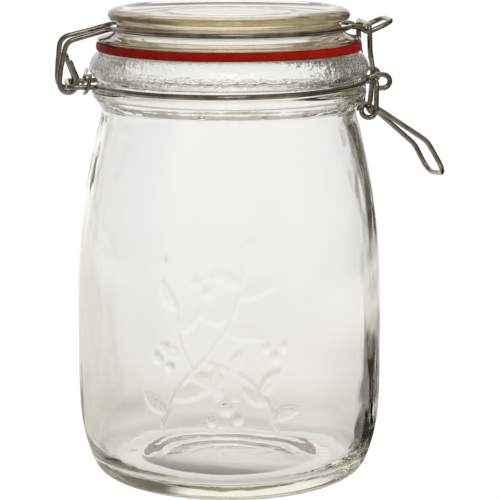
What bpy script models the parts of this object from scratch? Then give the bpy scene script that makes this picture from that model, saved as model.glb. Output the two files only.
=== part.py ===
"""One-litre clip top jar: glass body, glass lid, rubber seal and five bent wires.

Lengths in the tables are millimetres measured from the jar's own axis and from
the surface it stands on. +X runs from the hinge to the clip, +Z is up.
"""
import math

import bmesh
import bpy
import numpy as np

MM = 0.001
AXIS_X = -8.2  # the jar's axis, so that the whole part is centred on x = 0
SEG = 54  # steps round the glass

WIRE_R = 0.95  # 1.9 mm tinned spring wire
TIE_R = 0.7
TIE_GAP = 0.35
SIDES = 8

# planes across the clip and hinge, each wire clear of its neighbour by 0.3 mm
Y_GRIP = 6.7
Y_TAB = 8.9
Y_LINK = 9.0
Y_BAR = 11.5
Y_EYE = 11.2
Y_LEVER = 13.4
Y_ARM = 8.5

PIN_A = (53.0, 147.6)  # lever pins in the neck wire's eyelets
PIN_B = (50.6, 137.0)  # link pins in the lever's eyes
HINGE = (-59.7, 147.1)  # neck wire's cross bar that the lid wire's eyes hang on

EYELET = (55.9, 147.65)
EYELET_R = 2.5
HINGE_EYE = (-59.9, 147.9)
HINGE_EYE_R = 3.1
LEVER_EYE = (50.1, 137.3)
LEVER_EYE_R = 2.8

NECK_R = 50.3
NECK_WIRE_Z = 146.95
NECK_WIRE_LIFT = 1.1
LID_RING_R = 44.6
LID_RING_Z = 167.9
LEAD_IN = 6.0  # degrees of a ring given up to the bend at each of its ends


def clear_scene():
    for obj in list(bpy.data.objects):
        bpy.data.objects.remove(obj, do_unlink=True)


def material(name, colour, roughness, metallic=0.0, alpha=1.0, transmission=0.0):
    mat = bpy.data.materials.new(name)
    mat.use_nodes = True
    shader = mat.node_tree.nodes["Principled BSDF"]
    shader.inputs["Base Color"].default_value = (*colour, 1.0)
    shader.inputs["Roughness"].default_value = roughness
    shader.inputs["Metallic"].default_value = metallic
    shader.inputs["Alpha"].default_value = alpha
    shader.inputs["Transmission Weight"].default_value = transmission
    mat.diffuse_color = (*colour, alpha)
    return mat


def add_object(name, verts, faces, mat):
    mesh = bpy.data.meshes.new(name)
    points = [((x + AXIS_X) * MM, y * MM, z * MM) for x, y, z in verts]
    mesh.from_pydata(points, [], faces)
    bm = bmesh.new()
    bm.from_mesh(mesh)
    bmesh.ops.recalc_face_normals(bm, faces=bm.faces)
    bm.to_mesh(mesh)
    bm.free()
    mesh.materials.append(mat)
    obj = bpy.data.objects.new(name, mesh)
    bpy.context.scene.collection.objects.link(obj)
    return obj


def lathe(name, profile, mat, seg=SEG):
    """Turn a profile of (radius, height) round the axis; a radius of 0 is a pole."""
    verts, rows = [], []
    for r, z in profile:
        if r == 0.0:
            rows.append([len(verts)])
            verts.append((0.0, 0.0, z))
            continue
        first = len(verts)
        for k in range(seg):
            a = 2.0 * math.pi * k / seg
            verts.append((r * math.cos(a), r * math.sin(a), z))
        rows.append(list(range(first, first + seg)))
    faces = []
    closed = profile[0][0] != 0.0
    pairs = len(rows) if closed else len(rows) - 1
    for i in range(pairs):
        low, high = rows[i], rows[(i + 1) % len(rows)]
        for k in range(seg):
            n = (k + 1) % seg
            if len(low) == 1:
                faces.append((low[0], high[n], high[k]))
            elif len(high) == 1:
                faces.append((low[k], low[n], high[0]))
            else:
                faces.append((low[k], low[n], high[n], high[k]))
    return add_object(name, verts, faces, mat)


def rounded(corners, step=25.0):
    """A path through (x, y, z, bend radius), each bend turned into short chords."""
    pts = [np.array(c[:3], float) for c in corners]
    out = [pts[0]]
    for i in range(1, len(corners) - 1):
        radius = corners[i][3] if len(corners[i]) > 3 else 0.0
        p, a, b = pts[i], pts[i - 1], pts[i + 1]
        u, v = a - p, b - p
        lu, lv = np.linalg.norm(u), np.linalg.norm(v)
        u, v = u / lu, v / lv
        turn = math.pi - math.acos(max(-1.0, min(1.0, float(u @ v))))
        if radius <= 0.0 or turn < math.radians(4):
            out.append(p)
            continue
        reach = min(radius * math.tan(turn / 2.0), 0.49 * lu, 0.49 * lv)
        radius = reach / math.tan(turn / 2.0)
        bisector = (u + v) / np.linalg.norm(u + v)
        centre = p + bisector * math.hypot(radius, reach)
        e1 = (p + u * reach - centre) / radius
        side = (p + v * reach - centre) / radius
        e2 = side - e1 * float(side @ e1)
        e2 /= np.linalg.norm(e2)
        count = max(2, int(math.ceil(math.degrees(turn) / step)))
        for k in range(count + 1):
            t = turn * k / count
            out.append(centre + radius * (math.cos(t) * e1 + math.sin(t) * e2))
    out.append(pts[-1])
    clean = [out[0]]
    for p in out[1:]:
        if np.linalg.norm(p - clean[-1]) > 0.12:
            clean.append(p)
    return clean


def wire(name, path, mat, radius=WIRE_R, sides=SIDES):
    """A round wire swept along a path without twist, its two ends cut square."""
    pts = [np.array(p, float) for p in path]
    tangents = []
    for i in range(len(pts)):
        a = pts[max(0, i - 1)]
        b = pts[min(len(pts) - 1, i + 1)]
        before = pts[i] - a
        after = b - pts[i]
        t = np.zeros(3)
        for d in (before, after):
            if np.linalg.norm(d) > 0:
                t = t + d / np.linalg.norm(d)
        tangents.append(t / np.linalg.norm(t))
    normal = np.cross(tangents[0], (0.0, 0.0, 1.0))
    if np.linalg.norm(normal) < 0.1:
        normal = np.cross(tangents[0], (0.0, 1.0, 0.0))
    normal /= np.linalg.norm(normal)
    # an outscribed polygon keeps the wire's true thickness
    rad = radius / math.cos(math.pi / sides) ** 0.5
    verts, rows = [], []
    for i, (p, t) in enumerate(zip(pts, tangents)):
        if i:
            normal = normal - t * float(normal @ t)
            normal /= np.linalg.norm(normal)
        other = np.cross(t, normal)
        row = []
        for k in range(sides):
            a = 2.0 * math.pi * (k + 0.5) / sides
            row.append(len(verts))
            verts.append(tuple(p + rad * (math.cos(a) * normal + math.sin(a) * other)))
        rows.append(row)
    faces = [tuple(rows[0][::-1]), tuple(rows[-1])]
    for low, high in zip(rows, rows[1:]):
        for k in range(sides):
            n = (k + 1) % sides
            faces.append((low[k], low[n], high[n], high[k]))
    return add_object(name, verts, faces, mat)


def mirrored(half):
    """The far half of a wire is the near half mirrored across the jar."""
    return half + across(half)


def across(half):
    """The same points on the other side of the jar, run the other way."""
    return [(p[0], -p[1], p[2], *p[3:]) for p in half[::-1]]


def arc_points(radius, start, stop, count, height):
    """Points on a ring seen from above, from one bearing to another in degrees."""
    out = []
    for k in range(count + 1):
        a = math.radians(start + (stop - start) * k / count)
        x, y = radius * math.cos(a), radius * math.sin(a)
        out.append((x, y, height(x)))
    return out


def loop_points(centre, radius, y, angles):
    """Points on an eye that lies in the plane y, at angles in degrees."""
    out = []
    for angle in angles:
        a = math.radians(angle)
        out.append((centre[0] + radius * math.cos(a), y, centre[1] + radius * math.sin(a), 0))
    return out


def neck_height(x):
    """The neck ring lies level in its groove and lifts a little towards the clip."""
    return NECK_WIRE_Z + NECK_WIRE_LIFT * ((1.0 + x / NECK_R) / 2.0) ** 3


# outside of the jar, from the centre of the foot up to the sealing lip, then inside
JAR_PROFILE = [
    (0.0, 3.2), (17.0, 2.7), (27.0, 1.5), (33.5, 0.0), (45.0, 0.0), (47.5, 0.55),
    (50.2, 2.3), (52.1, 5.4), (53.7, 9.8), (55.1, 15.0), (56.15, 21.0), (56.75, 30.0),
    (56.9, 45.0), (56.9, 60.0), (56.65, 75.0), (55.8, 89.0), (54.3, 102.0),
    (52.3, 114.5), (49.9, 125.5), (48.3, 132.0), (47.3, 137.3), (48.5, 139.75),
    (50.3, 142.0), (51.0, 143.9), (50.5, 145.2), (48.9, 146.0), (48.9, 149.3),
    (51.0, 150.5), (51.7, 152.9), (51.3, 154.9), (49.9, 157.0), (48.0, 158.85),
    (44.2, 158.85), (43.0, 157.6), (43.1, 146.0), (43.6, 136.0), (45.6, 126.5),
    (48.4, 114.0), (51.0, 99.0), (52.6, 82.0), (53.1, 62.0), (53.1, 34.0),
    (52.4, 20.0), (51.0, 13.4), (48.3, 8.9), (44.0, 6.6), (0.0, 6.2),
]

# underside of the lid, its edge, the groove for the ring, the rim and the dished top
LID_PROFILE = [
    (0.0, 167.6), (20.0, 167.2), (30.0, 165.4), (34.2, 161.6), (36.4, 157.9),
    (39.6, 157.9), (40.6, 159.2), (40.7, 162.35), (47.6, 162.35), (48.6, 162.9),
    (48.3, 163.6), (46.0, 164.3), (43.1, 165.4), (41.6, 167.2), (41.2, 169.0),
    (42.6, 169.9), (44.3, 170.7), (44.75, 172.0), (44.1, 173.3), (42.6, 174.25),
    (40.4, 174.65), (38.2, 174.4), (35.2, 173.4), (30.0, 172.6), (24.0, 172.7),
    (22.2, 173.3), (20.0, 173.1), (0.0, 172.8),
]

SEAL_PROFILE = [
    (41.3, 159.2), (48.3, 159.2), (49.0, 159.9), (49.0, 161.4), (48.3, 162.05),
    (41.3, 162.05),
]


def neck_wire_path():
    """Eyelet, half the ring, the hinge loop with its cross bar, and back again."""
    start = math.degrees(math.asin(Y_EYE / NECK_R))
    lead = math.sqrt(NECK_R ** 2 - Y_EYE ** 2)
    low, high = EYELET[1] - EYELET_R, EYELET[1] + EYELET_R
    eyelet = [(53.8, -Y_EYE, low, 0)]
    eyelet += loop_points(EYELET, EYELET_R, -Y_EYE, range(-90, 91, 30))
    eyelet += [(52.4, -Y_EYE, high, 3), (lead + 0.2, -Y_EYE, 148.55, 2.4)]
    ring = arc_points(
        NECK_R, -start - LEAD_IN, -180.0 + start + LEAD_IN, 18, neck_height
    )
    hinge = [
        (-lead - 0.2, -Y_EYE, neck_height(-lead), 2.4),
        (HINGE[0], -Y_EYE, HINGE[1], 1.9),
    ]
    return rounded(mirrored(eyelet + [(*p, 0) for p in ring] + hinge))


def neck_tie_path():
    """A thin wire hooked tall round both strands of the hinge loop behind the neck."""
    reach = WIRE_R + TIE_R + TIE_GAP
    half = [
        (-54.0, -Y_EYE + 2.6, 144.5, 0),
        (-53.9, -Y_EYE + 0.6, 144.85, 1.2),
        (-53.4, -Y_EYE - reach, 145.7, 1.6),
        (-52.2, -Y_EYE - reach, 150.0, 1.6),
        (-51.9, -Y_EYE + 0.2, 151.2, 1.6),
        (-53.1, -1.5, 150.4, 6.0),
    ]
    return rounded(mirrored(half), step=35.0)


def lid_wire_path():
    """Hinge eye, arm, half the ring and the hooked tab, then the far side."""

    def hinge_side(s, stub, arm):
        """The rod's upright stub, the eye, and the arm up to the ring."""
        out = [(*p[:1], s * Y_ARM, *p[1:]) for p in stub]
        out += loop_points(HINGE_EYE, HINGE_EYE_R, s * Y_ARM, range(-15, -166, -25))
        return out + [(*p[:1], s * Y_ARM, *p[1:]) for p in arm]

    near = hinge_side(
        -1.0,
        [(-59.2, 156.3, 0), (-56.3, 149.2, 3)],
        [(-63.05, 148.6, 2), (-62.5, 153.5, 9), (-60.2, 163.4, 4.2), (-50.5, 166.1, 8)],
    )
    far = hinge_side(
        1.0,
        [(-60.1, 157.2, 0), (-57.0, 149.2, 3)],
        [(-63.05, 148.6, 2), (-62.8, 153.5, 9), (-61.8, 163.4, 4.2), (-50.5, 166.1, 8)],
    )
    lead = math.sqrt(LID_RING_R ** 2 - Y_ARM ** 2)
    join = [(-lead - 0.2, -Y_ARM, LID_RING_Z, 2.6)]
    back = math.degrees(math.asin(Y_ARM / LID_RING_R))
    front = math.degrees(math.asin(Y_TAB / LID_RING_R))
    ring = arc_points(
        LID_RING_R, 180.0 + back + LEAD_IN, 360.0 - front - LEAD_IN, 18,
        lambda x: LID_RING_Z,
    )
    lead = math.sqrt(LID_RING_R ** 2 - Y_TAB ** 2)
    tab = [
        (lead + 0.3, -Y_TAB, LID_RING_Z - 0.1, 2.4),
        (47.4, -Y_TAB, 167.5, 3),
        (50.0, -Y_TAB, 165.45, 3),
        (52.4, -Y_TAB, 166.4, 3),
        (59.4, -Y_TAB, 169.5, 4.6),
    ]
    half = join + [(*p, 0) for p in ring] + tab
    return rounded(near + mirrored(half) + far[::-1])


def link_path():
    """A U of wire: its bar lies across the tab, its feet turn out as pins."""
    half = [
        (PIN_B[0], -Y_LEVER - 1.9, PIN_B[1], 0),
        (PIN_B[0], -Y_LINK, PIN_B[1], 1.5),
        (51.5, -Y_LINK, 140.5, 8),
        (52.4, -Y_LINK, 151.4, 8),
        (50.8, -Y_BAR + 0.2, 158.3, 10),
        (50.4, -Y_BAR, 168.4, 1.7),
    ]
    return rounded(mirrored(half))


def lever_path():
    """Pin, arm, the eye round the link's pin, and the slightly twisted handle."""

    def side(s):
        pts = [
            (PIN_A[0], s * (Y_EYE - 1.05), PIN_A[1], 0),
            (PIN_A[0], s * Y_LEVER, PIN_A[1], 1.4),
        ]
        pts += loop_points(LEVER_EYE, LEVER_EYE_R, s * Y_LEVER, range(0, -181, -26))
        pts += [
            (48.3, s * (Y_LEVER - 3.4), 138.2, 1.5),
            (49.3, s * Y_GRIP, 138.5, 1.2),
        ]
        return pts

    near = side(-1.0) + [
        (55.0, -7.0, 136.9, 6), (73.3, -8.6, 124.7, 9), (80.4, -8.4, 112.4, 5),
    ]
    far = side(1.0) + [
        (55.0, 7.0, 136.2, 6), (72.2, 8.6, 121.2, 9), (77.6, 8.4, 110.6, 5),
    ]
    return rounded(near + far[::-1])


def build():
    clear_scene()
    glass = material("clear_glass", (0.93, 0.95, 0.93), 0.03, 0.0, 0.35, 1.0)
    rubber = material("red_rubber", (0.33, 0.01, 0.006), 0.5)
    steel = material("tinned_wire", (0.56, 0.54, 0.5), 0.28, 1.0)
    lathe("jar_glass", JAR_PROFILE, glass)
    lathe("lid_glass", LID_PROFILE, glass)
    lathe("seal", SEAL_PROFILE, rubber)
    wire("neck_wire", neck_wire_path(), steel)
    wire("neck_tie", neck_tie_path(), steel, TIE_R)
    wire("lid_wire", lid_wire_path(), steel)
    wire("link", link_path(), steel)
    wire("lever", lever_path(), steel)


build()
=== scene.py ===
"""Looks for the clip top jar: fine glass, round wire, a rubber seal and its stage.

Lengths are millimetres from the jar's own axis and the surface it stands on, as in
the part's source; AXIS_X carries them into the shared frame. +X is the clip's side.
Only the depths of bumps are metres, and noise is in features per metre.
"""
import math

import bmesh
import bpy
import numpy as np
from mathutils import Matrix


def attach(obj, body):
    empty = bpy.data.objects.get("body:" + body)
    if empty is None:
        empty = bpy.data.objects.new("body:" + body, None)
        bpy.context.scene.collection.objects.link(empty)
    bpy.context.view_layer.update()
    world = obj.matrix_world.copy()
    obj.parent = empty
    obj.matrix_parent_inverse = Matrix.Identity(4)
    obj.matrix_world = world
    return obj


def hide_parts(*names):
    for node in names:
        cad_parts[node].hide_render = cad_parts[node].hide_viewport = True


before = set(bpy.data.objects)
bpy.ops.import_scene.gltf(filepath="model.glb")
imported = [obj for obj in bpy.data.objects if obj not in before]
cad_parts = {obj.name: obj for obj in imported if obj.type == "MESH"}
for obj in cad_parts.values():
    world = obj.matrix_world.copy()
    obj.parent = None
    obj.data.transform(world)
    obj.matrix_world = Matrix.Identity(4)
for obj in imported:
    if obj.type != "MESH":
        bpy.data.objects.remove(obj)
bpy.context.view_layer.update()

MM = 0.001
AXIS_X = -8.2

# the photograph's view, fitted to the seal, the lid's rim and the foot
VIEW_AZIMUTH = -7.5
VIEW_DISTANCE = 787.8
VIEW_HEIGHT = 234.6
AIM_HEIGHT = 83.4
AIM_X = -0.4
FOCAL_PIXELS = 2131.0
FRAME_PIXELS = 500.0

# wire radii, the sideways place of each limb, and each pin, eye and ring seen from
# the side, all the same as in the solids
WIRE_R = 0.95
TIE_R = 0.7
TIE_GAP = 0.35
Y_GRIP = 6.7
Y_TAB = 8.9
Y_LINK = 9.0
Y_BAR = 11.5
Y_EYE = 11.2
Y_LEVER = 13.4
Y_ARM = 8.5
PIN_A = (53.0, 147.6)
PIN_B = (50.6, 137.0)
HINGE = (-59.7, 147.1)
EYELET = (55.9, 147.65)
EYELET_R = 2.5
HINGE_EYE = (-59.9, 147.9)
HINGE_EYE_R = 3.1
LEVER_EYE = (50.1, 137.3)
LEVER_EYE_R = 2.8
NECK_R = 50.3
NECK_WIRE_Z = 146.95
NECK_WIRE_LIFT = 1.1
LID_RING_R = 44.6
LID_RING_Z = 167.9
LEAD_IN = 6.0

# a butt joint's raised ring, as a share of the radius and a reach along the wire,
# and a wire's rounded end as (lift, size) in radii
SEAM_LIFT = 0.16
SEAM_REACH = 0.42
WIRE_END = ((0.32, 0.55), (0.22, 0.82), (0.08, 0.96))

# the raised pattern: its middle as a bearing round the jar, and its height there
MOTIF_BEARING = -100.0
MOTIF_Z = 60.0
MOTIF_HALF_WIDTH = 34.0
MOTIF_HALF_HEIGHT = 40.0
BODY_R = 56.9

# a blister in the wall, left of the pattern's middle: along the wall from there,
# height up the jar, half width and half height, and how far it stands out
BLISTER = (-20.8, 89.3, 1.15, 1.9)
BLISTER_LIFT = 0.8

# unevenness of the glass and the seal, and the heights where it changes
OUTER_WAVE = 0.05
INNER_WAVE = 0.28
FOOT_WAVE = 0.12
SEAL_WAVE = 0.03
FINISH_PITS = 0.03
BEAD_PITS = 0.004
NECK_Z = 134.0
BEAD_Z = 138.0
FINISH_Z = 150.0

# what the camera sees round the jar: a plain white floor and dome
BACKDROP_FLOOR_R = 2700.0
BACKDROP_DOME_R = 2500.0
BACKDROP_GLOW = 1.02

# the floor that the glass shows, with painted shade: its brightness by distance from the
# jar's axis (a painted contact shade under and round the foot), and by distance away from the
# viewer (a painted shadow of the jar behind it and painted shade in front of it)
FLOOR_R = 1000.0
UNDER_JAR = [(0.0, 0.8), (30.0, 0.85), (34.0, 1.0), (44.0, 0.95), (46.5, 0.75), (60.0, 1.0)]
AWAY = [
    (-400.0, 0.3), (-180.0, 0.45), (-58.0, 0.72), (0.0, 0.75), (70.0, 0.78),
    (165.0, 0.9), (420.0, 0.98), (600.0, 1.0),
]

# shade on that floor under the foot's hollow, from side to side along a turned line
HOLLOW_TURN = -40.0
HOLLOW_SHADE = [(-34.0, 0.88), (-22.0, 0.75), (-10.0, 0.25), (0.0, 0.0), (34.0, 0.0)]
HOLLOW_REACH = [(0.0, 1.0), (33.0, 1.0), (34.2, 0.0), (40.0, 0.0)]

# a dark patch on its right, by bearing from a point PATCH_SIDE right of the axis and
# by distance from the axis, and a paler shade on its left
PATCH_SIDE = 47.0
PATCH_BEARING = [
    (-180.0, 0.0), (13.0, 0.0), (21.0, 1.0), (105.0, 1.0), (140.0, 0.0), (180.0, 0.0),
]
PATCH_DISTANCE = [
    (0.0, 0.96), (280.0, 0.96), (340.0, 0.25), (460.0, 0.25), (600.0, 0.93), (1000.0, 0.95),
]
LEFT_BEARING = [
    (-180.0, 0.05), (-120.0, 0.15), (-60.0, 0.2), (-34.0, 0.2), (-18.0, 0.0), (180.0, 0.0),
]
LEFT_DISTANCE = [(0.0, 0.0), (50.0, 0.0), (90.0, 1.0), (1000.0, 1.0)]

# the floor's own tint, and powers of red, green and blue that warm its darker parts
FLOOR_TINT = (1.0, 1.0, 0.985)
SHADE_WARMTH = (1.0, 1.045, 1.22)

# the room, low down and high up: bearing from straight behind the jar, brightness,
# warmth; ROOM_SPLIT is the rise (sine of the angle) over which one turns into the other
ROOM_LOW = [
    (-180, 0.3, 0.25), (-135, 0.25, 0.25), (-100, 0.06, 0.25), (-60, 0.3, 0.2),
    (-42, 0.5, 0.1), (-30, 0.7, 0.03), (-19, 0.98, 0.01), (20, 0.98, 0.01),
    (26, 0.12, 0.3), (70, 0.08, 0.3), (100, 0.05, 0.3), (135, 0.25, 0.25), (180, 0.3, 0.25),
]
ROOM_HIGH = [
    (-180, 0.35, 0.15), (-120, 0.22, 0.2), (-60, 0.2, 0.2), (-30, 0.7, 0.05),
    (30, 0.9, 0.05), (60, 0.3, 0.2), (120, 0.3, 0.15), (180, 0.35, 0.15),
]
ROOM_SPLIT = (0.46, 0.62)

# square lights that look at the lid: name, bearing, rise, distance, width, height,
# power, and whether glass and wire show them
LIGHTS = [
    ("rubber_key", 155.0, 25.0, 1400.0, 400.0, 400.0, 10.0, False),
    ("rubber_fill", -20.0, 30.0, 1400.0, 400.0, 400.0, 4.0, False),
    ("window", 185.0, 32.0, 1100.0, 420.0, 160.0, 1.1, True),
]
LIGHT_AIM_Z = 150.0

# light goes to and fro inside thick glass many times before it leaves
GLASS_BOUNCES = 40


# Mesh helpers


def add_mesh(name, verts, faces):
    """A smooth-shaded piece from points in millimetres."""
    mesh = bpy.data.meshes.new(name)
    points = np.array(verts, float)
    points[:, 0] += AXIS_X
    mesh.from_pydata((points * MM).tolist(), [], faces)
    bm = bmesh.new()
    bm.from_mesh(mesh)
    bmesh.ops.recalc_face_normals(bm, faces=bm.faces)
    bm.to_mesh(mesh)
    bm.free()
    mesh.polygons.foreach_set("use_smooth", [True] * len(mesh.polygons))
    obj = bpy.data.objects.new(name, mesh)
    bpy.context.scene.collection.objects.link(obj)
    return obj


def smooth_run(points, step):
    """A centripetal curve through the points of one run, about step mm apart."""
    pts = [np.array(p, float) for p in points]
    if len(pts) == 2:
        count = max(1, int(round(np.linalg.norm(pts[1] - pts[0]) / step)))
        return [pts[0] + (pts[1] - pts[0]) * k / count for k in range(count + 1)]
    pts = [2 * pts[0] - pts[1]] + pts + [2 * pts[-1] - pts[-2]]
    out = [pts[1]]
    for p0, p1, p2, p3 in zip(pts, pts[1:], pts[2:], pts[3:]):
        t1 = np.linalg.norm(p1 - p0) ** 0.5
        t2 = t1 + np.linalg.norm(p2 - p1) ** 0.5
        t3 = t2 + np.linalg.norm(p3 - p2) ** 0.5
        count = max(1, int(round(np.linalg.norm(p2 - p1) / step)))
        for k in range(1, count + 1):
            t = t1 + (t2 - t1) * k / count
            a1 = p0 * (t1 - t) / t1 + p1 * t / t1
            a2 = p1 * (t2 - t) / (t2 - t1) + p2 * (t - t1) / (t2 - t1)
            a3 = p2 * (t3 - t) / (t3 - t2) + p3 * (t - t2) / (t3 - t2)
            b1 = a1 * (t2 - t) / t2 + a2 * t / t2
            b2 = a2 * (t3 - t) / (t3 - t1) + a3 * (t - t1) / (t3 - t1)
            out.append(b1 * (t2 - t) / (t2 - t1) + b2 * (t - t1) / (t2 - t1))
    return out


def profile_curve(runs, step):
    """Smooth runs joined end to end, with a corner where two runs meet."""
    out = []
    for run in runs:
        part = smooth_run(run, step)
        out += part if not out else part[1:]
    return out


def lathe(name, rows, bearings, shift=None):
    """Turn rows of (radius, height) through bearings; shift adds to the radius."""
    bearings = np.asarray(bearings)
    cos, sin = np.cos(bearings), np.sin(bearings)
    verts, index = [], []
    for i, (r, z) in enumerate(rows):
        if r < 1e-6:
            index.append([len(verts)])
            verts.append((0.0, 0.0, z))
            continue
        radius = np.full(len(bearings), r)
        if shift is not None:
            radius = radius + shift(i, r, z, bearings)
        first = len(verts)
        verts += [(x, y, z) for x, y in zip(radius * cos, radius * sin)]
        index.append(range(first, first + len(bearings)))
    faces = []
    closed = rows[0][0] > 1e-6
    for i in range(len(rows) if closed else len(rows) - 1):
        low, high = index[i], index[(i + 1) % len(rows)]
        for k in range(len(bearings)):
            n = (k + 1) % len(bearings)
            if len(low) == 1:
                faces.append((low[0], high[n], high[k]))
            elif len(high) == 1:
                faces.append((low[k], low[n], high[0]))
            else:
                faces.append((low[k], low[n], high[n], high[k]))
    return add_mesh(name, verts, faces)


def even_bearings(count):
    return [2.0 * math.pi * k / count for k in range(count)]


def rounded(corners, step=9.0):
    """A path through (x, y, z, bend radius), each bend turned into short chords."""
    pts = [np.array(c[:3], float) for c in corners]
    out = [pts[0]]
    for i in range(1, len(corners) - 1):
        radius = corners[i][3] if len(corners[i]) > 3 else 0.0
        p, a, b = pts[i], pts[i - 1], pts[i + 1]
        u, v = a - p, b - p
        lu, lv = np.linalg.norm(u), np.linalg.norm(v)
        u, v = u / lu, v / lv
        turn = math.pi - math.acos(max(-1.0, min(1.0, float(u @ v))))
        if radius <= 0.0 or turn < math.radians(4):
            out.append(p)
            continue
        reach = min(radius * math.tan(turn / 2.0), 0.49 * lu, 0.49 * lv)
        radius = reach / math.tan(turn / 2.0)
        bisector = (u + v) / np.linalg.norm(u + v)
        centre = p + bisector * math.hypot(radius, reach)
        e1 = (p + u * reach - centre) / radius
        side = (p + v * reach - centre) / radius
        e2 = side - e1 * float(side @ e1)
        e2 /= np.linalg.norm(e2)
        count = max(2, int(math.ceil(math.degrees(turn) / step)))
        for k in range(count + 1):
            t = turn * k / count
            out.append(centre + radius * (math.cos(t) * e1 + math.sin(t) * e2))
    out.append(pts[-1])
    clean = [out[0]]
    for p in out[1:]:
        if np.linalg.norm(p - clean[-1]) > 0.1:
            clean.append(p)
    return clean


def evenly_spaced(path, gap):
    """The same path with points a fixed gap apart, so that seams can be drawn on it."""
    pts = np.array(path)
    along = np.concatenate([[0.0], np.cumsum(np.linalg.norm(np.diff(pts, axis=0), axis=1))])
    count = int(along[-1] / gap)
    at = np.linspace(0.0, along[-1], count + 1)
    dense = np.stack([np.interp(at, along, pts[:, k]) for k in range(3)], axis=1)
    for _ in range(3):
        dense[1:-1] = 0.25 * dense[:-2] + 0.5 * dense[1:-1] + 0.25 * dense[2:]
    return dense


def wire(name, path, radius=WIRE_R, sides=20, gap=0.55, seams=()):
    """Round wire with softly rounded ends; each seam is a butt joint's raised ring."""
    pts = evenly_spaced(path, gap)
    tangents = np.gradient(pts, axis=0)
    tangents /= np.linalg.norm(tangents, axis=1)[:, None]
    scale = np.ones(len(pts))
    for seam in seams:
        near = np.linalg.norm(pts - np.array(seam), axis=1)
        scale += SEAM_LIFT * np.exp(-((near / SEAM_REACH) ** 2))
    normal = np.cross(tangents[0], (0.0, 0.0, 1.0))
    if np.linalg.norm(normal) < 0.1:
        normal = np.cross(tangents[0], (0.0, 1.0, 0.0))
    turn = 2.0 * np.pi * np.arange(sides) / sides
    rings = []
    for p, t, size in zip(pts, tangents, scale):
        normal = normal - t * float(normal @ t)
        normal /= np.linalg.norm(normal)
        ring = np.cos(turn)[:, None] * normal + np.sin(turn)[:, None] * np.cross(t, normal)
        rings.append((p, ring, size))
    start, end = rings[0], rings[-1]
    head = [(start[0] - tangents[0] * lift * radius, start[1], s) for lift, s in WIRE_END]
    tail = [(end[0] + tangents[-1] * lift * radius, end[1], s) for lift, s in WIRE_END[::-1]]
    verts, rows = [], []
    for p, ring, size in head + rings + tail:
        first = len(verts)
        verts += (p + radius * size * ring).tolist()
        rows.append(range(first, first + sides))
    faces = [tuple(rows[0])[::-1], tuple(rows[-1])]
    for low, high in zip(rows, rows[1:]):
        for k in range(sides):
            n = (k + 1) % sides
            faces.append((low[k], low[n], high[n], high[k]))
    return add_mesh(name, verts, faces)


def across(half):
    """The same points on the other side of the jar, run the other way."""
    return [(p[0], -p[1], p[2], *p[3:]) for p in half[::-1]]


def mirrored(half):
    return half + across(half)


def arc_points(radius, start, stop, count, height):
    out = []
    for k in range(count + 1):
        a = math.radians(start + (stop - start) * k / count)
        x, y = radius * math.cos(a), radius * math.sin(a)
        out.append((x, y, height(x)))
    return out


def loop_points(centre, radius, y, angles):
    """Points on an eye that lies in the plane y, at angles in degrees."""
    out = []
    for angle in angles:
        a = math.radians(angle)
        out.append((centre[0] + radius * math.cos(a), y, centre[1] + radius * math.sin(a), 0))
    return out


# Glass profiles, (radius, height), a new run at each corner

FOOT = [
    [(0.0, 3.2), (9.0, 3.05), (17.0, 2.65), (24.0, 1.95), (29.5, 1.05), (33.5, 0.05)],
    [(33.5, 0.05), (39.0, 0.0), (45.0, 0.05)],
]
OUTSIDE = [
    [(45.0, 0.05), (47.5, 0.55), (50.2, 2.3), (52.1, 5.4), (53.7, 9.8), (55.1, 15.0),
     (56.15, 21.0), (56.75, 30.0), (56.9, 45.0), (56.9, 60.0), (56.65, 75.0),
     (55.8, 89.0), (54.3, 102.0), (52.3, 114.5), (49.9, 125.5), (48.3, 132.0),
     (47.25, 136.2), (47.4, 138.0), (48.6, 139.9), (50.1, 141.9), (50.95, 143.7),
     (50.5, 145.2), (49.2, 146.1), (48.9, 147.6), (49.1, 149.2)],
    [(49.1, 149.2), (50.6, 150.2), (51.5, 151.5), (51.7, 152.9), (51.3, 154.9),
     (50.1, 156.9), (48.9, 158.2), (48.0, 158.7), (47.0, 158.85)],
]
INSIDE = [
    [(47.0, 158.85), (44.6, 158.8), (43.4, 158.2), (43.0, 156.8), (43.1, 151.0),
     (44.2, 147.0), (45.2, 143.8), (44.2, 140.6), (43.6, 137.0), (44.2, 132.5),
     (45.6, 126.5), (48.4, 114.0), (51.0, 99.0),
     (52.6, 82.0), (53.1, 62.0), (53.1, 36.0), (52.55, 22.0), (51.3, 14.0),
     (49.0, 9.3), (46.0, 7.2), (42.0, 6.55), (32.0, 6.35), (16.0, 6.25), (0.0, 6.2)],
]
LID_UNDER = [
    [(0.0, 167.6), (10.0, 167.5), (20.0, 167.1), (27.0, 166.1), (31.0, 164.3),
     (33.6, 161.6), (35.2, 158.9), (36.4, 158.0), (37.6, 157.9)],
    [(37.6, 157.9), (39.4, 157.95), (40.4, 158.8), (40.65, 160.0), (40.7, 162.35)],
    [(40.7, 162.35), (47.3, 162.35)],
]
LID_OVER = [
    [(47.3, 162.35), (48.3, 162.55), (48.6, 163.1), (48.0, 163.7), (46.2, 164.25),
     (44.2, 164.9), (42.7, 165.8), (41.7, 167.1), (41.3, 168.6), (41.7, 169.6),
     (43.2, 170.2), (44.3, 170.9), (44.75, 172.0), (44.3, 173.2), (42.9, 174.15),
     (40.8, 174.6), (38.6, 174.5), (36.0, 173.7), (33.0, 172.95), (29.0, 172.6),
     (25.0, 172.6), (23.5, 172.85), (22.4, 173.25), (21.0, 173.3), (19.0, 173.1),
     (14.0, 172.95), (0.0, 172.9)],
]
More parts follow.
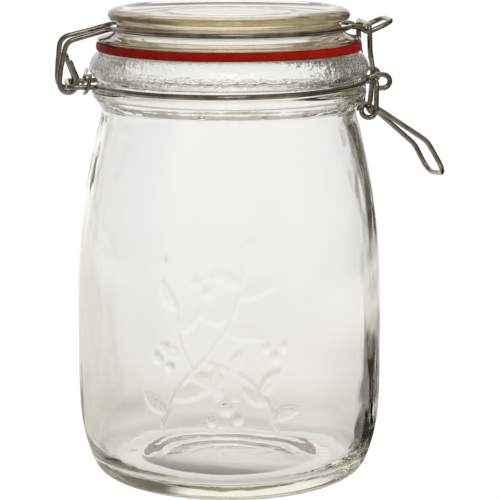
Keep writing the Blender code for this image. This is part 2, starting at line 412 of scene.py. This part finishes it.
SEAL_RUNS = [
    [(41.3, 159.25), (48.2, 159.2)],
    [(48.2, 159.2), (48.75, 159.4), (49.0, 160.0), (49.0, 161.3), (48.75, 161.85),
     (48.2, 162.05)],
    [(48.2, 162.05), (41.3, 162.0)],
    [(41.3, 162.0), (41.3, 159.25)],
]


# The raised pattern: leafy sprays and berries of its own


def leaf_height(s, z, base, angle, length, width, height=0.5):
    """A pointed leaf from its base, with a sunk midrib; lengths in mm on the wall."""
    a = math.radians(angle)
    ds, dz = s - base[0], z - base[1]
    along = (ds * math.cos(a) + dz * math.sin(a)) / length
    across_leaf = -ds * math.sin(a) + dz * math.cos(a)
    across_leaf = across_leaf - 0.07 * length * np.sin(np.pi * np.clip(along, 0, 1))
    half = width / 2.0 * np.sin(np.pi * np.clip(along, 0.0, 1.0) ** 0.85) ** 0.9
    inside = (along > 0.0) & (along < 1.0) & (np.abs(across_leaf) < half)
    u = np.where(inside, across_leaf / np.maximum(half, 1e-6), 1.0)
    dome = np.clip(1.0 - u ** 2, 0.0, 1.0) ** 0.7
    rib = 0.5 * np.exp(-((across_leaf / 0.4) ** 2)) * (along < 0.9)
    return np.where(inside, height * dome * (1.0 - rib), 0.0)


def berry_height(s, z, centre, radius, height=0.65):
    d = np.hypot(s - centre[0], z - centre[1]) / radius
    return np.where(d < 1.0, height * np.sqrt(np.clip(1.0 - d ** 2, 0.0, 1.0)), 0.0)


def stem_height(s, z, points, width=1.3, height=0.4):
    """A raised line along a smooth path."""
    path = np.array(smooth_run(points, 0.6))
    best = np.full(np.shape(s), 1e9)
    for p in path:
        best = np.minimum(best, np.hypot(s - p[0], z - p[1]))
    u = np.clip(best / (width / 2.0), 0.0, 1.0)
    return height * np.sqrt(1.0 - u ** 2)


def blister_height(s, z):
    """A bubble close under the surface stands up as a small egg-shaped blister."""
    s0, z0, half_s, half_z = BLISTER
    d = np.hypot((s - s0) / half_s, (z - z0) / half_z)
    return np.where(d < 1.0, BLISTER_LIFT * np.sqrt(np.clip(1.0 - d ** 2, 0.0, 1.0)), 0.0)


STEMS = [
    [(-22.0, -30.0), (-15.0, -16.0), (-5.0, -4.0), (4.0, 10.0), (9.0, 28.0)],
    [(20.0, -31.0), (16.0, -20.0), (7.0, -11.0), (-6.0, -6.0)],
    [(-10.0, -10.0), (-15.0, 2.0), (-16.0, 14.0)],
]
LEAVES = [
    ((-19.5, -25.0), 150, 11.0, 5.2), ((-17.0, -20.0), 15, 13.0, 6.0),
    ((-11.0, -11.0), -28, 13.5, 6.2), ((-13.0, -4.0), 160, 11.0, 5.4),
    ((-15.5, 4.0), 40, 12.0, 5.6), ((-15.9, 12.0), 118, 12.5, 5.6),
    ((1.5, 5.0), -12, 15.0, 6.8), ((3.0, 9.0), 158, 13.0, 6.0),
    ((6.8, 17.0), 18, 13.0, 6.2), ((7.6, 21.0), 146, 11.5, 5.4),
    ((9.0, 28.0), 74, 11.5, 5.6), ((18.6, -27.0), 12, 11.0, 5.4),
    ((16.5, -21.0), 148, 10.5, 5.2), ((14.0, -18.0), 48, 12.0, 5.8),
    ((4.0, -9.6), 62, 9.5, 4.6), ((-2.0, -7.6), -92, 11.0, 5.2),
]
BERRIES = [
    ((-20.5, -1.5), 2.1), ((-23.4, -5.4), 2.4), ((-18.6, -8.4), 1.8),
    ((19.4, -4.6), 2.3), ((22.6, -0.8), 1.9), ((16.0, -1.0), 1.7),
    ((-4.6, 19.0), 2.3), ((-8.6, 22.6), 2.0), ((-2.6, 24.6), 1.7),
    ((1.6, -22.6), 2.4), ((6.0, -26.6), 2.0), ((-3.2, -27.6), 1.8),
]


def motif(bearings, z):
    """Height of the raised pattern, in mm, for one row of the wall."""
    s = (bearings - math.radians(MOTIF_BEARING) + math.pi) % (2 * math.pi) - math.pi
    s = s * BODY_R
    dz = np.full(np.shape(s), z - MOTIF_Z)
    if abs(z - MOTIF_Z) > MOTIF_HALF_HEIGHT:
        return np.zeros_like(s)
    out = blister_height(s, z)
    for points in STEMS:
        out = np.maximum(out, stem_height(s, dz, points))
    for base, angle, length, width in LEAVES:
        out = np.maximum(out, leaf_height(s, dz, base, angle, length, width))
    for centre, radius in BERRIES:
        out = np.maximum(out, berry_height(s, dz, centre, radius))
    return out


def ripple(bearings, z, seed, size):
    """Slow unevenness of blown glass: a few long waves round and up the wall."""
    rng = np.random.RandomState(seed)
    out = np.zeros_like(bearings)
    for _ in range(9):
        around = rng.randint(1, 7)
        up = rng.uniform(-0.09, 0.09)
        phase = rng.uniform(0, 2 * math.pi)
        out = out + rng.uniform(0.4, 1.0) * np.sin(around * bearings + up * z + phase)
    return size * out / 3.0


def pitting(bearings, z, seed, size):
    """Short-waved orange peel left by the mould on the finish, and a trace on the bead."""
    rng = np.random.RandomState(seed)
    out = np.zeros_like(bearings)
    for _ in range(26):
        around = rng.randint(18, 88)
        up = rng.uniform(-1.6, 1.6)
        phase = rng.uniform(0, 2 * math.pi)
        out = out + np.sin(around * bearings + up * z + phase)
    return size * out / 5.0


def jar_bearings():
    """Bearings all round, close together where the raised pattern is."""
    centre = math.radians(MOTIF_BEARING)
    half = MOTIF_HALF_WIDTH / BODY_R
    fine = np.linspace(centre - half, centre + half, 150, endpoint=False)
    rest = np.linspace(centre + half, centre - half + 2 * math.pi, 170, endpoint=False)
    return np.concatenate([fine, rest])


def jar_glass():
    """The body: rows close together on the pattern and the neck, wider elsewhere."""
    low, high = MOTIF_Z - MOTIF_HALF_HEIGHT, MOTIF_Z + MOTIF_HALF_HEIGHT
    outer = profile_curve(FOOT, 0.9) + profile_curve(OUTSIDE, 0.5)[1:]
    kept = [outer[0]]
    for p in outer[1:]:
        gap = 0.6 if low < p[1] < high or p[1] > NECK_Z else 1.0
        if np.linalg.norm(p - kept[-1]) > gap * 0.9 or p is outer[-1]:
            kept.append(p)
    rows = kept + profile_curve(INSIDE, 2.2)[1:]

    def shift(i, r, z, bearings):
        """Pattern, pits and waves on the outside, deeper waves on the inside."""
        rising = min(1.0, max(0.0, (z - 4.0) / 20.0))
        wall = rising * min(1.0, max(0.0, (NECK_Z - z) / 20.0))
        if i < len(kept):
            if z < 2.0:
                return np.zeros_like(bearings)
            if z > BEAD_Z:
                return pitting(bearings, z, 8, FINISH_PITS if z > FINISH_Z else BEAD_PITS)
            return motif(bearings, z) + wall * ripple(bearings, z, 3, OUTER_WAVE)
        foot = min(1.0, r / 46.0) * (z < 30.0)
        waves = wall * ripple(bearings, z, 11, INNER_WAVE)
        return waves + FOOT_WAVE * foot * ripple(bearings, z, 5, 1.0)

    return lathe("jar_body", rows, jar_bearings(), shift)


def lid_glass():
    rows = profile_curve(LID_UNDER, 0.8) + profile_curve(LID_OVER, 0.5)[1:]
    return lathe("lid_disc", rows, even_bearings(224))


def seal_ring():
    rows = profile_curve(SEAL_RUNS, 0.35)[:-1]

    def shift(i, r, z, bearings):
        return ripple(bearings, z, 21, SEAL_WAVE)

    return lathe("seal_ring", rows, even_bearings(224), shift)


# Wire paths, the same as the solids'


def neck_height(x):
    return NECK_WIRE_Z + NECK_WIRE_LIFT * ((1.0 + x / NECK_R) / 2.0) ** 3


def neck_wire_path():
    start = math.degrees(math.asin(Y_EYE / NECK_R))
    lead = math.sqrt(NECK_R ** 2 - Y_EYE ** 2)
    low, high = EYELET[1] - EYELET_R, EYELET[1] + EYELET_R
    eyelet = [(53.8, -Y_EYE, low, 0)]
    eyelet += loop_points(EYELET, EYELET_R, -Y_EYE, range(-90, 91, 15))
    eyelet += [(52.4, -Y_EYE, high, 3), (lead + 0.2, -Y_EYE, 148.55, 2.4)]
    ring = arc_points(NECK_R, -start - LEAD_IN, -180.0 + start + LEAD_IN, 90, neck_height)
    hinge = [
        (-lead - 0.2, -Y_EYE, neck_height(-lead), 2.4),
        (HINGE[0], -Y_EYE, HINGE[1], 1.9),
    ]
    return rounded(mirrored(eyelet + [(*p, 0) for p in ring] + hinge))


def neck_tie_path():
    reach = WIRE_R + TIE_R + TIE_GAP
    half = [
        (-54.0, -Y_EYE + 2.6, 144.5, 0),
        (-53.9, -Y_EYE + 0.6, 144.85, 1.2),
        (-53.4, -Y_EYE - reach, 145.7, 1.6),
        (-52.2, -Y_EYE - reach, 150.0, 1.6),
        (-51.9, -Y_EYE + 0.2, 151.2, 1.6),
        (-53.1, -1.5, 150.4, 6.0),
    ]
    return rounded(mirrored(half))


def lid_wire_path():

    def hinge_side(s, stub, arm):
        """The rod's upright stub, the eye, and the arm up to the ring."""
        out = [(*p[:1], s * Y_ARM, *p[1:]) for p in stub]
        out += loop_points(HINGE_EYE, HINGE_EYE_R, s * Y_ARM, range(-15, -166, -10))
        return out + [(*p[:1], s * Y_ARM, *p[1:]) for p in arm]

    near = hinge_side(
        -1.0,
        [(-59.2, 156.3, 0), (-56.3, 149.2, 3)],
        [(-63.05, 148.6, 2), (-62.5, 153.5, 9), (-60.2, 163.4, 4.2), (-50.5, 166.1, 8)],
    )
    far = hinge_side(
        1.0,
        [(-60.1, 157.2, 0), (-57.0, 149.2, 3)],
        [(-63.05, 148.6, 2), (-62.8, 153.5, 9), (-61.8, 163.4, 4.2), (-50.5, 166.1, 8)],
    )
    lead = math.sqrt(LID_RING_R ** 2 - Y_ARM ** 2)
    join = [(-lead - 0.2, -Y_ARM, LID_RING_Z, 2.6)]
    back = math.degrees(math.asin(Y_ARM / LID_RING_R))
    front = math.degrees(math.asin(Y_TAB / LID_RING_R))
    ring = arc_points(
        LID_RING_R, 180.0 + back + LEAD_IN, 360.0 - front - LEAD_IN, 90,
        lambda x: LID_RING_Z,
    )
    lead = math.sqrt(LID_RING_R ** 2 - Y_TAB ** 2)
    tab = [
        (lead + 0.3, -Y_TAB, LID_RING_Z - 0.1, 2.4),
        (47.4, -Y_TAB, 167.5, 3),
        (50.0, -Y_TAB, 165.45, 3),
        (52.4, -Y_TAB, 166.4, 3),
        (59.4, -Y_TAB, 169.5, 4.6),
    ]
    half = join + [(*p, 0) for p in ring] + tab
    return rounded(near + mirrored(half) + far[::-1])


def link_path():
    half = [
        (PIN_B[0], -Y_LEVER - 1.9, PIN_B[1], 0),
        (PIN_B[0], -Y_LINK, PIN_B[1], 1.5),
        (51.5, -Y_LINK, 140.5, 8),
        (52.4, -Y_LINK, 151.4, 8),
        (50.8, -Y_BAR + 0.2, 158.3, 10),
        (50.4, -Y_BAR, 168.4, 1.7),
    ]
    return rounded(mirrored(half))


def lever_path():

    def side(s):
        pts = [
            (PIN_A[0], s * (Y_EYE - 1.05), PIN_A[1], 0),
            (PIN_A[0], s * Y_LEVER, PIN_A[1], 1.4),
        ]
        pts += loop_points(LEVER_EYE, LEVER_EYE_R, s * Y_LEVER, range(0, -181, -12))
        pts += [
            (48.3, s * (Y_LEVER - 3.4), 138.2, 1.5),
            (49.3, s * Y_GRIP, 138.5, 1.2),
        ]
        return pts

    near = side(-1.0) + [
        (55.0, -7.0, 136.9, 6), (73.3, -8.6, 124.7, 9), (80.4, -8.4, 112.4, 5),
    ]
    far = side(1.0) + [
        (55.0, 7.0, 136.2, 6), (72.2, 8.6, 121.2, 9), (77.6, 8.4, 110.6, 5),
    ]
    return rounded(near + far[::-1])


# Materials


def new_material(name):
    mat = bpy.data.materials.new(name)
    mat.use_nodes = True
    nodes = mat.node_tree.nodes
    return mat, nodes, mat.node_tree.links, nodes["Principled BSDF"]


def object_noise(nodes, links, scale, detail=2.0, stretch=None):
    """Noise fixed to the object, in features per metre; stretch scales each axis."""
    coords = nodes.new("ShaderNodeTexCoord")
    noise = nodes.new("ShaderNodeTexNoise")
    noise.inputs["Scale"].default_value = scale
    noise.inputs["Detail"].default_value = detail
    source = coords.outputs["Object"]
    if stretch:
        mapping = nodes.new("ShaderNodeMapping")
        mapping.inputs["Scale"].default_value = stretch
        links.new(source, mapping.inputs["Vector"])
        source = mapping.outputs["Vector"]
    links.new(source, noise.inputs["Vector"])
    return noise.outputs["Fac"]


def add_bump(nodes, links, shader, height, strength, distance):
    bump = nodes.new("ShaderNodeBump")
    bump.inputs["Strength"].default_value = strength
    bump.inputs["Distance"].default_value = distance
    links.new(height, bump.inputs["Height"])
    links.new(bump.outputs["Normal"], shader.inputs["Normal"])


def glass_material(name, colour, density, wave_depth, pit_depth, pits_from):
    """Clear glass: slow waves all over, fine pits above a height, a tint with depth."""
    mat, nodes, links, shader = new_material(name)
    shader.inputs["Base Color"].default_value = (0.99, 0.99, 0.985, 1.0)
    shader.inputs["Roughness"].default_value = 0.0
    shader.inputs["IOR"].default_value = 1.5
    shader.inputs["Transmission Weight"].default_value = 1.0
    wave = object_noise(nodes, links, 95.0, 1.5, (1.0, 1.0, 0.45))
    coords = nodes.new("ShaderNodeTexCoord")
    split = nodes.new("ShaderNodeSeparateXYZ")
    links.new(coords.outputs["Object"], split.inputs["Vector"])
    above = nodes.new("ShaderNodeMapRange")
    above.inputs["From Min"].default_value = (pits_from - 1.5) * MM
    above.inputs["From Max"].default_value = (pits_from + 1.5) * MM
    above.inputs["To Max"].default_value = pit_depth / wave_depth
    links.new(split.outputs["Z"], above.inputs["Value"])
    pits = nodes.new("ShaderNodeMath")
    pits.operation = "MULTIPLY_ADD"
    links.new(object_noise(nodes, links, 480.0, 2.0, (1.0, 1.0, 1.5)), pits.inputs[0])
    links.new(above.outputs["Result"], pits.inputs[1])
    links.new(wave, pits.inputs[2])
    add_bump(nodes, links, shader, pits.outputs["Value"], 0.35, wave_depth)
    absorb = nodes.new("ShaderNodeVolumeAbsorption")
    absorb.inputs["Color"].default_value = (*colour, 1.0)
    absorb.inputs["Density"].default_value = density
    links.new(absorb.outputs["Volume"], nodes["Material Output"].inputs["Volume"])
    return mat


def rubber_material():
    """Moulded red rubber: soft sheen, faint mottling and a little light inside."""
    mat, nodes, links, shader = new_material("red_rubber")
    blotch = object_noise(nodes, links, 420.0, 4.0)
    ramp = nodes.new("ShaderNodeValToRGB")
    ramp.color_ramp.elements[0].position = 0.3
    ramp.color_ramp.elements[0].color = (0.32, 0.005, 0.002, 1.0)
    ramp.color_ramp.elements[1].position = 0.72
    ramp.color_ramp.elements[1].color = (0.43, 0.010, 0.003, 1.0)
    links.new(blotch, ramp.inputs["Fac"])
    links.new(ramp.outputs["Color"], shader.inputs["Base Color"])
    shader.inputs["Roughness"].default_value = 0.55
    shader.inputs["Specular IOR Level"].default_value = 0.12
    shader.inputs["Subsurface Weight"].default_value = 0.25
    shader.inputs["Subsurface Radius"].default_value = (0.0022, 0.0005, 0.0003)
    shader.inputs["Subsurface Scale"].default_value = 1.0
    grain = object_noise(nodes, links, 2600.0, 3.0)
    add_bump(nodes, links, shader, grain, 0.25, 0.0001)
    return mat


def wire_material():
    """Tin-plated steel wire: smooth, a little yellowed, with duller handled patches."""
    mat, nodes, links, shader = new_material("tinned_wire")
    shader.inputs["Metallic"].default_value = 1.0
    dull = object_noise(nodes, links, 210.0, 5.0)
    ramp = nodes.new("ShaderNodeValToRGB")
    ramp.color_ramp.elements[0].position = 0.34
    ramp.color_ramp.elements[0].color = (0.25, 0.235, 0.195, 1.0)
    ramp.color_ramp.elements[1].position = 0.66
    ramp.color_ramp.elements[1].color = (0.50, 0.475, 0.41, 1.0)
    links.new(dull, ramp.inputs["Fac"])
    links.new(ramp.outputs["Color"], shader.inputs["Base Color"])
    rough = nodes.new("ShaderNodeMapRange")
    rough.inputs["From Min"].default_value = 0.3
    rough.inputs["From Max"].default_value = 0.7
    rough.inputs["To Min"].default_value = 0.12
    rough.inputs["To Max"].default_value = 0.26
    links.new(dull, rough.inputs["Value"])
    links.new(rough.outputs["Result"], shader.inputs["Roughness"])
    grain = object_noise(nodes, links, 1500.0, 2.0)
    add_bump(nodes, links, shader, grain, 0.1, 0.00004)
    return mat


# The pieces


def dress(piece, mat, body, node):
    piece.data.materials.append(mat)
    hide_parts(node)
    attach(piece, body)


def build_jar():
    blown = glass_material(
        "blown_glass", colour=(0.7, 0.7, 0.2), density=2.2,
        wave_depth=0.0006, pit_depth=0.0009, pits_from=151.0,
    )
    pressed = glass_material(
        "pressed_glass", colour=(0.72, 0.5, 0.0), density=11.0,
        wave_depth=0.0003, pit_depth=0.00005, pits_from=162.0,
    )
    rubber = rubber_material()
    steel = wire_material()
    dress(jar_glass(), blown, "jar", "jar_glass")
    dress(lid_glass(), pressed, "lid", "lid_glass")
    dress(seal_ring(), rubber, "lid", "seal")
    dress(wire("neck_loop", neck_wire_path()), steel, "jar", "neck_wire")
    tie = wire("neck_tie_wire", neck_tie_path(), TIE_R, 14, 0.4)
    dress(tie, steel, "jar", "neck_tie")
    rod_seams = [(-58.8, -Y_ARM, 155.3), (-59.7, Y_ARM, 156.1)]
    lid_loop = wire("lid_loop", lid_wire_path(), seams=rod_seams)
    dress(lid_loop, steel, "lid", "lid_wire")
    leg_seam = [(51.2, -10.7, 156.6)]
    dress(wire("link_bow", link_path(), seams=leg_seam), steel, "link", "link")
    dress(wire("lever_bow", lever_path()), steel, "lever", "lever")


# Camera, floor and light


def look_matrix(place, aim):
    """Axes of something that stands at place and looks at aim, as matrix columns."""
    place, aim = np.array(place, float), np.array(aim, float)
    back = (place - aim) / np.linalg.norm(place - aim)
    right = np.cross((0.0, 0.0, 1.0), back)
    right /= np.linalg.norm(right)
    matrix = np.eye(4)
    matrix[:3, 0], matrix[:3, 1], matrix[:3, 2] = right, np.cross(back, right), back
    matrix[:3, 3] = place * MM
    return matrix.T.tolist()


def add_camera():
    a = math.radians(VIEW_AZIMUTH)
    data = bpy.data.cameras.new("camera")
    data.sensor_width = 36.0
    data.lens = FOCAL_PIXELS / FRAME_PIXELS * data.sensor_width
    data.clip_start = 0.01
    cam = bpy.data.objects.new("camera", data)
    bpy.context.scene.collection.objects.link(cam)
    place = (
        AIM_X + VIEW_DISTANCE * math.sin(a), -VIEW_DISTANCE * math.cos(a), VIEW_HEIGHT,
    )
    cam.matrix_world = look_matrix(place, (AIM_X, 0.0, AIM_HEIGHT))
    bpy.context.scene.camera = cam


def glowing_material(name):
    """A surface that only glows, and takes no light from anything else."""
    mat, nodes, links, shader = new_material(name)
    shader.inputs["Base Color"].default_value = (0.0, 0.0, 0.0, 1.0)
    shader.inputs["Specular IOR Level"].default_value = 0.0
    shader.inputs["Roughness"].default_value = 1.0
    shader.inputs["Emission Color"].default_value = (1.0, 1.0, 1.0, 1.0)
    shader.inputs["Emission Strength"].default_value = 1.0
    return mat, nodes, links, shader


def stage_piece(name, bm, mat, height, seen_directly):
    """One piece of the stage, seen either by the camera or by the jar's surfaces."""
    mesh = bpy.data.meshes.new(name)
    bm.to_mesh(mesh)
    bm.free()
    mesh.materials.append(mat)
    obj = bpy.data.objects.new(name, mesh)
    obj.location.z = height * MM
    obj.visible_camera = seen_directly
    obj.visible_glossy = not seen_directly
    obj.visible_transmission = not seen_directly
    obj.visible_diffuse = not seen_directly
    bpy.context.scene.collection.objects.link(obj)


def add_backdrop():
    """A plain white floor and dome, which the camera alone sees."""
    mat, _, _, shader = glowing_material("white_backdrop")
    shader.inputs["Emission Strength"].default_value = BACKDROP_GLOW
    disc = bmesh.new()
    bmesh.ops.create_circle(disc, cap_ends=True, segments=96, radius=BACKDROP_FLOOR_R * MM)
    stage_piece("floor", disc, mat, -0.2, True)
    dome = bmesh.new()
    bmesh.ops.create_uvsphere(dome, u_segments=48, v_segments=24, radius=BACKDROP_DOME_R * MM)
    stage_piece("dome", dome, mat, 0.0, True)


def add_shaded_floor():
    """The floor as the jar sees it: shaded under it, in front of it and on its sides."""
    disc = bmesh.new()
    bmesh.ops.create_circle(disc, cap_ends=True, segments=96, radius=FLOOR_R * MM)
    mat, nodes, links, shader = glowing_material("shaded_floor")
    coords = nodes.new("ShaderNodeTexCoord")

    def placed(turn):
        """Floor coordinates from the jar's axis, turned about it."""
        moved = nodes.new("ShaderNodeMapping")
        moved.inputs["Location"].default_value = (-AXIS_X * MM, 0.0, 0.0)
        links.new(coords.outputs["Object"], moved.inputs["Vector"])
        turned = nodes.new("ShaderNodeMapping")
        turned.inputs["Rotation"].default_value = (0.0, 0.0, turn)
        links.new(moved.outputs["Vector"], turned.inputs["Vector"])
        split = nodes.new("ShaderNodeSeparateXYZ")
        links.new(turned.outputs["Vector"], split.inputs["Vector"])
        return turned.outputs["Vector"], split.outputs["X"], split.outputs["Y"]

    def steps(source, stops, unit=MM):
        """Brightness along a length in mm, or an angle where unit is one degree."""
        low, high = stops[0][0], stops[-1][0]
        place = nodes.new("ShaderNodeMapRange")
        place.inputs["From Min"].default_value = low * unit
        place.inputs["From Max"].default_value = high * unit
        links.new(source, place.inputs["Value"])
        ramp = nodes.new("ShaderNodeValToRGB")
        ramp.color_ramp.interpolation = "EASE"
        elements = ramp.color_ramp.elements
        while len(elements) < len(stops):
            elements.new(0.5)
        for element, (at, value) in zip(elements, stops):
            element.position = (at - low) / (high - low)
            element.color = (value, value, value, 1.0)
        links.new(place.outputs["Result"], ramp.inputs["Fac"])
        return ramp.outputs["Color"]

    def combined(operation, a, b):
        node = nodes.new("ShaderNodeVectorMath")
        node.operation = operation
        for value, socket in ((a, node.inputs[0]), (b, node.inputs[1])):
            if isinstance(value, tuple):
                socket.default_value = value
            else:
                links.new(value, socket)
        return node.outputs["Vector"]

    white = (1.0, 1.0, 1.0)
    flat, side, away = placed(-math.radians(VIEW_AZIMUTH))
    length = nodes.new("ShaderNodeVectorMath")
    length.operation = "LENGTH"
    links.new(flat, length.inputs[0])
    distance = length.outputs["Value"]

    def turned_from(place):
        """Bearing from a point to the right of the jar's axis, 0 straight away."""
        moved = nodes.new("ShaderNodeMath")
        moved.operation = "SUBTRACT"
        moved.inputs[1].default_value = place * MM
        links.new(side, moved.inputs[0])
        bearing = nodes.new("ShaderNodeMath")
        bearing.operation = "ARCTAN2"
        links.new(moved.outputs["Value"], bearing.inputs[0])
        links.new(away, bearing.inputs[1])
        return bearing.outputs["Value"]

    degree = math.pi / 180.0
    # painted contact shade round the foot, painted shadow behind the jar and painted shade in
    # front of it
    glow = combined("MULTIPLY", steps(distance, UNDER_JAR), steps(away, AWAY))
    fan = steps(turned_from(PATCH_SIDE), PATCH_BEARING, degree)
    patch = combined("MULTIPLY", fan, steps(distance, PATCH_DISTANCE))
    glow = combined("MULTIPLY", glow, combined("SUBTRACT", white, patch))
    beside = steps(turned_from(0.0), LEFT_BEARING, degree)
    left = combined("MULTIPLY", beside, steps(distance, LEFT_DISTANCE))
    glow = combined("MULTIPLY", glow, combined("SUBTRACT", white, left))
    _, _, across_hollow = placed(-math.radians(HOLLOW_TURN))
    inside = steps(distance, HOLLOW_REACH)
    hollow = combined("MULTIPLY", steps(across_hollow, HOLLOW_SHADE), inside)
    glow = combined("MULTIPLY", glow, combined("SUBTRACT", white, hollow))
    glow = combined("POWER", glow, SHADE_WARMTH)
    links.new(combined("MULTIPLY", glow, FLOOR_TINT), shader.inputs["Emission Color"])
    stage_piece("shaded_floor", disc, mat, -0.1, False)


def ring_ramp(nodes, links, angle, stops):
    """Colours round the horizon, from (bearing in degrees, brightness, warmth) rows."""
    ramp = nodes.new("ShaderNodeValToRGB")
    elements = ramp.color_ramp.elements
    while len(elements) < len(stops):
        elements.new(0.5)
    for element, (bearing, value, warmth) in zip(elements, stops):
        element.position = (bearing + 180.0) / 360.0
        green, blue = 1.0 - 0.28 * warmth, 1.0 - warmth
        element.color = (value, value * green, value * blue, 1.0)
    links.new(angle, ramp.inputs["Fac"])
    return ramp.outputs["Color"]


def add_world():
    """A white wall behind the jar and a dimmer, warmer room round the other sides."""
    scene = bpy.context.scene
    world = bpy.data.worlds.new("room")
    scene.world = world
    world.use_nodes = True
    nodes, links = world.node_tree.nodes, world.node_tree.links
    background = nodes["Background"]
    coords = nodes.new("ShaderNodeTexCoord")
    split = nodes.new("ShaderNodeSeparateXYZ")
    links.new(coords.outputs["Generated"], split.inputs["Vector"])
    bearing = nodes.new("ShaderNodeMath")
    bearing.operation = "ARCTAN2"
    links.new(split.outputs["X"], bearing.inputs[0])
    links.new(split.outputs["Y"], bearing.inputs[1])
    place = nodes.new("ShaderNodeMapRange")
    place.inputs["From Min"].default_value = -math.pi
    place.inputs["From Max"].default_value = math.pi
    links.new(bearing.outputs["Value"], place.inputs["Value"])
    low = ring_ramp(nodes, links, place.outputs["Result"], ROOM_LOW)
    high = ring_ramp(nodes, links, place.outputs["Result"], ROOM_HIGH)
    rise = nodes.new("ShaderNodeMapRange")
    rise.interpolation_type = "SMOOTHSTEP"
    rise.inputs["From Min"].default_value = ROOM_SPLIT[0]
    rise.inputs["From Max"].default_value = ROOM_SPLIT[1]
    links.new(split.outputs["Z"], rise.inputs["Value"])
    mix = nodes.new("ShaderNodeMix")
    mix.data_type = "RGBA"
    links.new(rise.outputs["Result"], mix.inputs[0])
    links.new(low, mix.inputs[6])
    links.new(high, mix.inputs[7])
    links.new(mix.outputs[2], background.inputs["Color"])


def add_light(name, bearing, rise, distance, width, height, power, glossy):
    """A light that looks at the lid; without glossy, only the rubber takes its light."""
    b, e = math.radians(bearing), math.radians(rise)
    data = bpy.data.lights.new(name, "AREA")
    data.shape = "RECTANGLE"
    data.size, data.size_y = width * MM, height * MM
    data.energy = power
    light = bpy.data.objects.new(name, data)
    bpy.context.scene.collection.objects.link(light)
    aim = np.array([0.0, 0.0, LIGHT_AIM_Z])
    away = np.array([math.sin(b) * math.cos(e), math.cos(b) * math.cos(e), math.sin(e)])
    light.matrix_world = look_matrix(aim + distance * away, aim)
    light.visible_camera = False
    light.visible_glossy = glossy
    light.visible_transmission = glossy


def add_stage():
    scene = bpy.context.scene
    scene.view_settings.view_transform = "Standard"
    scene.cycles.max_bounces = GLASS_BOUNCES
    scene.cycles.transmission_bounces = GLASS_BOUNCES
    scene.cycles.glossy_bounces = GLASS_BOUNCES
    add_camera()
    add_backdrop()
    add_shaded_floor()
    add_world()
    for light in LIGHTS:
        add_light(*light)


build_jar()
add_stage()
